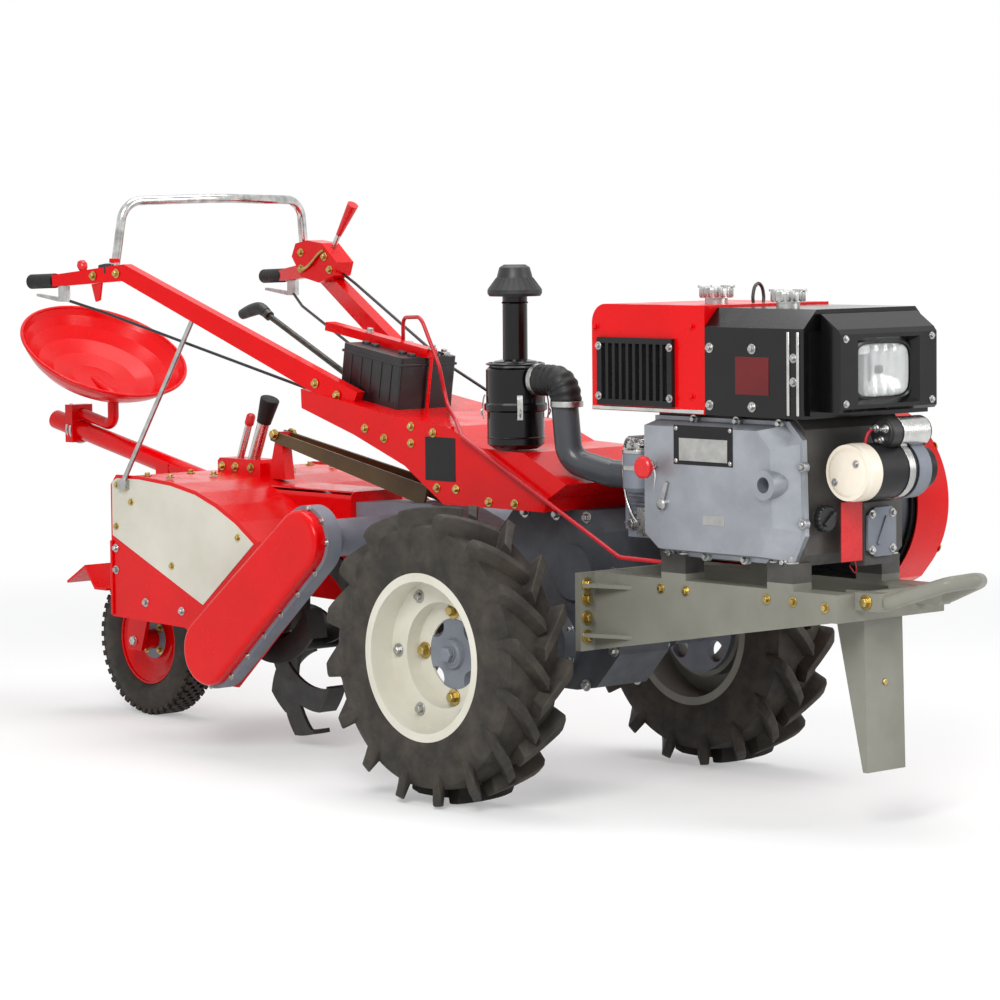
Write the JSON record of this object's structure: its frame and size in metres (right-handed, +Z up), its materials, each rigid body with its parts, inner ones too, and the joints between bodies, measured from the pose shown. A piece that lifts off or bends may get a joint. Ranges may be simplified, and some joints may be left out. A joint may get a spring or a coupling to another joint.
{
  "type": "power tiller",
  "caption": "Two-wheel walking tractor with a flat diesel engine, rotary tiller, long handlebars, driver's seat and tail wheel.",
  "frame": {"origin": "on the floor, under the middle of the machine's length and width", "axes": "+X forward towards the bumper and headlight, +Y to the driver's left, +Z up"},
  "size_m": [3.0873, 0.954, 1.2953],
  "materials": {
    "bare_steel": "satin",
    "black_paint": "satin",
    "black_plastic": "matte",
    "black_shell": "satin",
    "black_tank": "gloss",
    "blue_grey_paint": "satin",
    "chromed_tube": "gloss",
    "dark_casting": "satin",
    "flap_rubber": "matte",
    "frame_paint": "satin",
    "grey_casting": "satin",
    "grey_paint": "satin",
    "lamp_glass": "clear",
    "olive_paint": "satin",
    "pipe_grey": "satin",
    "red_paint": "gloss",
    "red_plastic": "gloss",
    "tyre_rubber": "matte",
    "white_paint": "gloss",
    "zinc_steel": "satin"
  },
  "bodies": {
    "chassis": {"frame_rails": "frame_paint", "frame_crossmembers": "frame_paint", "front_bumper": "frame_paint", "gearbox": "dark_casting", "crankcase": "dark_casting", "gear_case_cover": "grey_casting", "cylinder_head": "dark_casting", "drive_pulleys": "black_paint", "drive_belts": "flap_rubber", "belt_guard": "red_paint", "radiator_shell": "red_paint", "radiator_grilles": "black_paint", "fuel_tank": "black_tank", "filler_caps": "zinc_steel", "lamp_bracket": "black_paint", "headlight_housing": "black_plastic", "headlight_lens": "lamp_glass", "starter_motor": "black_paint", "air_cleaner": "black_shell", "precleaner_cap": "black_plastic", "intake_pipe": "pipe_grey", "fuel_filter": "zinc_steel", "injection_pump": "bare_steel", "handle_console": "red_paint", "handle_arm_right": "red_paint", "handle_arm_left": "red_paint", "handle_grips": "black_plastic", "handle_hoop": "chromed_tube", "control_box": "red_paint", "control_cables": "flap_rubber", "clutch_lever": "red_plastic", "gear_shift_lever": "black_plastic", "battery_box": "black_plastic", "battery_strap": "red_paint", "side_panels": "white_paint", "tiller_drive_case": "blue_grey_paint", "tiller_sides": "red_paint", "tiller_hood": "red_paint", "chain_case": "blue_grey_paint", "chain_cover": "red_paint", "rear_flap": "flap_rubber", "depth_adjuster": "red_paint", "depth_screw": "zinc_steel", "tail_fork": "red_paint", "seat_tube": "red_paint", "seat_pan": "red_paint", "side_brace": "zinc_steel", "link_bars": "olive_paint", "steering_levers": "zinc_steel"},
    "drive_wheel_right": {"tyre_right": "tyre_rubber", "rim_right": "white_paint", "half_axle_right": "bare_steel"},
    "drive_wheel_left": {"tyre_left": "tyre_rubber", "rim_left": "grey_paint", "half_axle_left": "bare_steel"},
    "tail_wheel": {"tail_tyre": "tyre_rubber", "tail_rim": "red_paint"},
    "tiller_rotor": {"rotor_shaft": "black_paint", "tines": "black_paint"},
    "front_stand": {"front_stand": "frame_paint"}
  },
  "joints": [
    {"name": "right_wheel_spin", "type": "hinge", "parent": "chassis", "child": "drive_wheel_right", "pos_m": [0.42313, -0.397, 0.315], "axis": [0, 1, 0], "continuous": true},
    {"name": "left_wheel_spin", "type": "hinge", "parent": "chassis", "child": "drive_wheel_left", "pos_m": [0.42313, 0.397, 0.315], "axis": [0, 1, 0], "continuous": true},
    {"name": "tail_wheel_spin", "type": "hinge", "parent": "chassis", "child": "tail_wheel", "pos_m": [-1.11487, 0, 0.19], "axis": [0, 1, 0], "continuous": true},
    {"name": "rotor_spin", "type": "hinge", "parent": "chassis", "child": "tiller_rotor", "pos_m": [-0.44687, 0, 0.246], "axis": [0, 1, 0], "continuous": true},
    {"name": "stand_fold", "type": "hinge", "parent": "chassis", "child": "front_stand", "pos_m": [1.28113, 0, 0.464], "axis": [0, 1, 0], "range_deg": [0, 80]}
  ]
}
